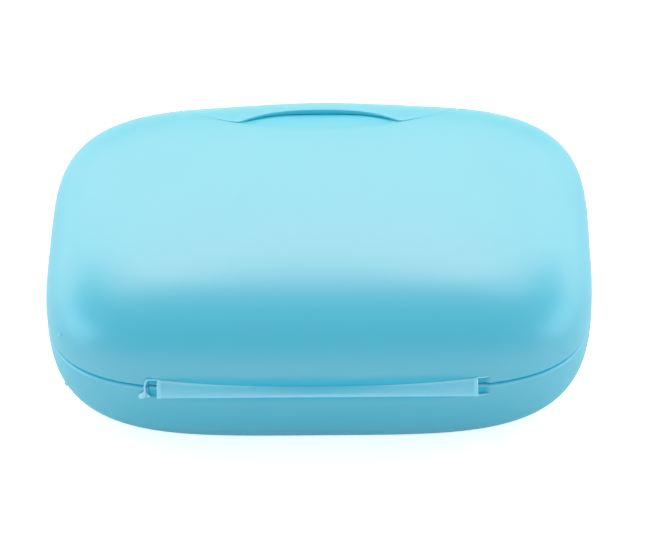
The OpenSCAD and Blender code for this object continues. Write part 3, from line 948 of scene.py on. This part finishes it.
# %% Build the rear web
# Painted highlights on the web: along the ridge by its first edge, on the bead along the fold,
# on the thick bars at its ends and on its end caps.
bar_highlight, bead_highlight, highlight_from, highlight_run = 0.55, 0.3, 8, 14
end_highlight = bar_highlight * ease((bar_w - from_end) / 0.3)
web_painted_light = np.zeros(web_rings.shape[:2])
web_painted_light[:, 1:3] = ease((np.abs(web_x) - highlight_from) / highlight_run)[:, None]
web_painted_light[:, 12:24] = bead_highlight
web_painted_light = np.maximum(web_painted_light, end_highlight[:, None])
rear_web = make_piece(
    "rear_web", *capped(web_rings), None, ["hinge_web_lower", "hinge_web_upper"], web_plastic
)
store_painted_light(rear_web, np.r_[web_painted_light.ravel(), 1, 1])
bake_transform(rear_web)

# %% [markdown]
# ## The clasp's web
# The clasp swings on a second web, on the tray's front. It is shorter than the rear one
# and out of sight while the clasp is closed. A flat hinge would leave a gap when it
# swings. So it is the same kind of strip, bent along a fold of its own.

# %% The clasp's web
clasp_web_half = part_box("clasp_hinge_web")[1][0] / MM
clasp_web_t, clasp_bead_r, foot_up, foot_sink, root_sink = 0.2, 0.29, 0.3, 0.5, 0.1
clasp_web_x = np.linspace(-clasp_web_half, clasp_web_half, 80)
clasp_web_rings = bent_strip(
    clasp_web_x,
    on_wall(clasp_web_x, clasp_z0 + foot_up, -foot_sink, front=True)[:, 1:],
    np.array([clasp_fold_y, clasp_fold_z]),
    on_wall(clasp_web_x, clasp_fold_z, -pocket_depth - root_sink, front=True)[:, 1:],
    np.full(len(clasp_web_x), clasp_web_t),
    clasp_bead_r,
    side=-1,
)
clasp_web = make_piece(
    "clasp_web", *capped(clasp_web_rings), None, ["clasp_hinge_web"], web_plastic
)
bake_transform(clasp_web)

# %% [markdown]
# ## Marks of the moulding
# The photographed box is an everyday moulding, with small marks that tell how it was
# made: a curl of flash at one end of the web, thin lines of it at the other, a burr
# on the rim and a tiny nub on the lid. A curve object with a bevel could draw them. Here
# they are thin tubes along short curves, with a radius for every point, so that each
# can swell, taper and lie flat against the skin.


# %% Thin tapering tubes
def smooth_through(knots, values, v):
    """A curve through the values: cubic pieces whose slopes are finite differences."""
    slope = np.gradient(values, knots)
    i = np.clip(np.searchsorted(knots, v, side="right") - 1, 0, len(knots) - 2)
    h = knots[i + 1] - knots[i]
    t = (v - knots[i]) / h
    start = (1 + 2 * t) * (1 - t) ** 2 * values[i] + t * (1 - t) ** 2 * h * slope[i]
    end = t**2 * (3 - 2 * t) * values[i + 1] + t**2 * (t - 1) * h * slope[i + 1]
    return start + end


def tube(path, radii, out=(0, -1, 0), flat=1.0, n=12, least_r=0.02):
    """Rings round a smooth curve through the path's points, with round ends: r cos a
    beside the curve and flat r sin a outwards, away from the box."""
    path, radii, out = (np.asarray(v, float) for v in (path, radii, out))
    knots = np.linspace(0, 1, len(path))
    v = np.linspace(0, 1, 12 * len(path))
    curve = np.stack([smooth_through(knots, path[:, k], v) for k in range(3)], 1)
    r = np.maximum(smooth_through(knots, radii, v), least_r)
    r = (r * np.sqrt(np.clip(1 - (2 * v - 1) ** 16, 0.02, 1)))[:, None, None]
    along = np.gradient(curve, axis=0)
    beside = np.cross(along, out)
    beside /= np.linalg.norm(beside, axis=1, keepdims=True)
    outward = np.cross(beside, along)
    outward /= np.linalg.norm(outward, axis=1, keepdims=True)
    a = np.linspace(0, 2 * np.pi, n, endpoint=False)[None, :, None]
    circle = np.cos(a) * beside[:, None] + flat * np.sin(a) * outward[:, None]
    return curve[:, None] + r * circle


def mark(name, path, radii, body, material, painted_light, flat=1.0):
    """A tube that rides on a body, with one even value of painted light."""
    piece = make_piece(name, *capped(tube(path, radii, flat=flat)), body, [], material)
    store_painted_light(piece, np.full(len(piece.data.vertices), painted_light))
    return piece


# %% Flash at the web's ends
# The flash gets a painted highlight over the web's painted-pale plastic.
flash_highlight = 0.6
curl_x = -web_half - np.array([-0.3, 0.8, 1.9, 2.45, 2.5, 2.7, 3.3, 4.0])
curl_z = seam_z + np.array([2.2, 2.45, 2.35, 1.0, -0.6, -1.6, -2.4, -3.1])
curl_off = np.array([-0.3, 0.1, 0.3, 0.4, 0.35, 0.25, 0.2, 0.1])
curl_r = np.array([0.15, 0.19, 0.2, 0.2, 0.24, 0.62, 0.75, 0.3])
spur = on_wall(-web_half - np.array([2.9, 2.2, 1.5]), seam_z - np.array([1.7, 2.1, 2.4]), 0.1)
for name, path, radii, flat in (
    ("flash_curl", on_wall(curl_x, curl_z, curl_off), curl_r, 0.7),
    ("flash_spur", spur, [0.6, 0.5, 0.2], 0.5),
):
    piece = mark(name, path, radii, "base", web_plastic, flash_highlight, flat)
streak_x = np.array([web_half - 0.3, web_half + 0.8, relief_half + 0.4])
for name, z, body in (
    ("flash_high", seam_z + relief_rise + 0.1, "lid"),
    ("flash_low", seam_z - relief_rise, "base"),
):
    path = on_wall(streak_x, z, np.array([-0.1, 0.02, 0.0]))
    piece = mark(name, path, [0.2, 0.18, 0.08], body, web_plastic, flash_highlight)

# %% Nub on the lid and burr on the base, near the left end
nub_a, burr_a = np.radians([209.0, 210.5, 212.0]), np.radians([207.5] * 3)
nub_z, burr_z = np.array([5.3, 5.65, 6.0]), -np.array([9.8, 10.3, 10.7])
nub_path = skin(nub_a, seam_z + nub_z, np.array([-0.05, 0.14, -0.05]))
burr_path = skin(burr_a, seam_z + burr_z, np.array([-0.2, 0.02, 0.16]))
# The nub and the burr are painted fully pale, a painted highlight.
for name, path, radii, body in (
    ("lid_nub", nub_path, [0.12, 0.32, 0.12], "lid"),
    ("rim_burr", burr_path, [0.5, 0.25, 0.06], "base"),
):
    piece = mark(name, path, radii, body, shell_plastic, 1.0)

# %% [markdown]
# ## The rack and its posts
# A loose slotted rack keeps the soap out of the water. Four posts stand on the tray's
# floor under it, and a pip on each keeps it from sliding. A cylinder with bevels would
# do for a post, but its foot has a fillet as well. So each is a turned shape: one
# profile of radius against height, swept round its axis. The rack's own solid is crisp
# enough to be shown as it is, so it only gets its plastic.


# %% Turned shapes
def turned(profile, places, n=32):
    """Closed surfaces of revolution: each (radius r, height z) of the profile is a ring
    (r cos a, r sin a, z) round every place."""
    a = np.linspace(0, 2 * np.pi, n, endpoint=False)
    r, z = profile.T
    tall = np.repeat(z[:, None], n, 1)
    ring = np.stack([r[:, None] * np.cos(a), r[:, None] * np.sin(a), tall], -1)
    one = ring_grid(ring, [0, 0, z[0]], [0, 0, z[-1]])
    points = [one[0] + [x, y, 0] for x, y in places]
    jump = np.arange(len(places))[:, None, None] * len(one[0])
    return np.concatenate(points), *((f + jump).reshape(-1, f.shape[1]) for f in one[1:])


# %% Posts under the rack
rack_low, rack_high = (np.array(corner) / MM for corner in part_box("drain_rack"))
post_r, post_x, post_y, fillet, post_edge = 2.2, 31.5, 23.0, 0.6, 0.05
pip_r, pip_h, pip_round, sunk = 0.9, 0.9, 0.4, 0.3
rack_z = rack_low[2]
quarter = [(1 - np.sin(v), 1 - np.cos(v)) for v in np.linspace(0, np.pi / 2, 6)]
profile = np.array(
    [(post_r + fillet, wall - sunk)]
    + [(post_r + fillet * s, wall + fillet * c) for s, c in quarter]
    + [(post_r, rack_z - post_edge), (post_r - post_edge, rack_z), (pip_r, rack_z)]
    + [(pip_r - pip_round * c, rack_z + pip_h - pip_round * s) for s, c in quarter]
)
places = [(sx * post_x, sy * post_y) for sx in (-1, 1) for sy in (-1, 1)]
posts = make_piece("tray_posts", *turned(profile, places), "base", [], shell_plastic)

# %% The rack keeps its solid
rack = frame["nodes"]["drain_rack"]
rack.data.materials.clear()
rack.data.materials.append(rack_plastic)
print(f"the rack is {rack_high[0] - rack_low[0]:.1f} mm long and lies at {rack_z:.1f} mm")

# %% [markdown]
# ## The floor
# The box stands on white paper that shows no edge or fold. A floor lit by lamps alone
# would be grey and uneven. So the paper also glows: most for the camera, and a little
# for the reflections on the satin plastic. For scattered light it is plain paper, so
# that the soft shadow under the box stays.

# %% A floor that glows by kind of ray
floor_half, paper = 3.0, (0.8, 0.8, 0.8, 1)
signs = (-1, -1), (1, -1), (1, 1), (-1, 1)
corners = [(sx * floor_half, sy * floor_half, 0) for sx, sy in signs]
floor_mesh = bpy.data.meshes.new("floor")
floor_mesh.from_pydata(corners, [], [(0, 1, 2, 3)])
floor = bpy.data.objects.new("floor", floor_mesh)
bpy.context.scene.collection.objects.link(floor)
floor_material = bpy.data.materials.new("floor")
floor_material.use_nodes = True
tree = floor_material.node_tree
tree.nodes.clear()
kinds = node(tree, "ShaderNodeLightPath").outputs
strength = 0.0
for kind, amount in (("Camera", 0.72), ("Glossy", 0.16), ("Transmission", 0.16)):
    strength = math_of(tree, "MULTIPLY_ADD", kinds[f"Is {kind} Ray"], amount, strength)
    print(f"{kind} rays see a glow of {amount}")
diffuse = node(tree, "ShaderNodeBsdfDiffuse", {"Color": paper})
glow = node(tree, "ShaderNodeEmission", {"Strength": strength})
both = node(tree, "ShaderNodeAddShader", {0: diffuse.outputs[0], 1: glow.outputs[0]})
node(tree, "ShaderNodeOutputMaterial", {"Surface": both.outputs[0]})
floor_mesh.materials.append(floor_material)

# %% [markdown]
# ## The lamps
# In the photograph the lid's far side is bright in one wide soft band, and the side
# nearest the camera is in an even cool shade. One large lamp would light the band
# unevenly, as the lid curves. So four long softboxes stand one above the other beyond
# the box, each a little brighter than the one below, and others light its ends. The far
# lamps are warm and the near ones cool, as a shaded side takes its light from the sky.


# %% Softboxes round the box
def softbox(name, azimuth, elevation, distance, size, radiance, color):
    """A rectangular lamp that faces the box; its power is radiance * pi * area."""
    lamp = bpy.data.lights.new(name, "AREA")
    lamp.shape = "RECTANGLE"
    lamp.size, lamp.size_y = size
    lamp.energy = radiance * np.pi * size[0] * size[1]
    lamp.color = color
    holder = bpy.data.objects.new(name, lamp)
    az, el = np.radians(azimuth), np.radians(elevation)
    way = Vector((np.sin(az) * np.cos(el), np.cos(az) * np.cos(el), np.sin(el)))
    holder.location = way * distance + Vector((0, 0, 0.02))
    holder.rotation_euler = way.to_track_quat("Z", "Y").to_euler()
    bpy.context.scene.collection.objects.link(holder)
    print(f"{name}: {azimuth} degrees round, {elevation} up, {lamp.energy:.2f} W")


warm, cool, lamp_distance = (1.13, 0.79, 0.62), (0.8, 1.02, 1.15), 1.0
lamps = [
    ("key_low", 0, 26, (1.5, 0.45), 1.5, warm),
    ("key_middle", 0, 47, (1.5, 0.35), 1.6, warm),
    ("key_high", 0, 62, (1.3, 0.3), 1.8, warm),
    ("key_top", 0, 76, (1.2, 0.3), 2.1, warm),
    ("near_low", 180, 8, (1.2, 0.3), 0.25, cool),
]
for side in (-1, 1):
    lamps.append(("far_side", 52 * side, 13, (0.7, 0.5), 1.4, warm))
    lamps.append(("near_side", 98 * side, 13, (0.8, 0.5), 1.6, cool))
for name, azimuth, elevation, size, radiance, color in lamps:
    softbox(name, azimuth, elevation, lamp_distance, size, radiance, color)

# %% The world's even light
world = bpy.data.worlds.new("studio")
world.use_nodes = True
background = world.node_tree.nodes["Background"]
background.inputs["Color"].default_value = (*cool, 1)
background.inputs["Strength"].default_value = 0.7
bpy.context.scene.world = world
print("world strength", background.inputs["Strength"].default_value)

# %% [markdown]
# ## The camera
# The camera looks down on the box's rear from about 40 degrees, a little from one side.
# Its place could be set by hand in the viewport. It is worked out here from what was
# fitted to the outline: two angles, a roll, the scale, and the pixel at which a point
# inside the box is seen. The lens follows from the scale and the distance.

# %% Camera
pixels_per_mm, distance, sensor = 4.69, 800.0, 36
elevation, yaw, roll = np.radians([40.0, 1.64, -1.5])
target, target_pixel = np.array([0, 0, 22.0]), np.array([319.8, 261.7])
frame_size = np.array([650, 551])
flat_back = np.cos(elevation)
back = np.array([np.sin(yaw) * flat_back, -np.cos(yaw) * flat_back, np.sin(elevation)])
right = np.array([np.cos(yaw), np.sin(yaw), 0])
up = np.cross(back, right)
right, up = (
    np.cos(roll) * right + np.sin(roll) * up,
    -np.sin(roll) * right + np.cos(roll) * up,
)
eye = target + distance * back
offset = (frame_size / 2 - target_pixel) / pixels_per_mm
aim = target + offset[0] * right - offset[1] * up
back = (eye - aim) / np.linalg.norm(eye - aim)
right = np.cross(up, back)
right /= np.linalg.norm(right)
up = np.cross(back, right)
camera_data = bpy.data.cameras.new("camera")
camera_data.sensor_width = sensor
camera_data.lens = sensor * pixels_per_mm * distance / frame_size[0]
camera = bpy.data.objects.new("camera", camera_data)
turn = Matrix(np.stack([right, up, back], 1)).to_4x4()
camera.matrix_world = Matrix.Translation(eye * MM) @ turn
bpy.context.scene.collection.objects.link(camera)
bpy.context.scene.camera = camera
bpy.context.scene.view_settings.view_transform = "Standard"
print(f"lens {camera_data.lens:.0f} mm")
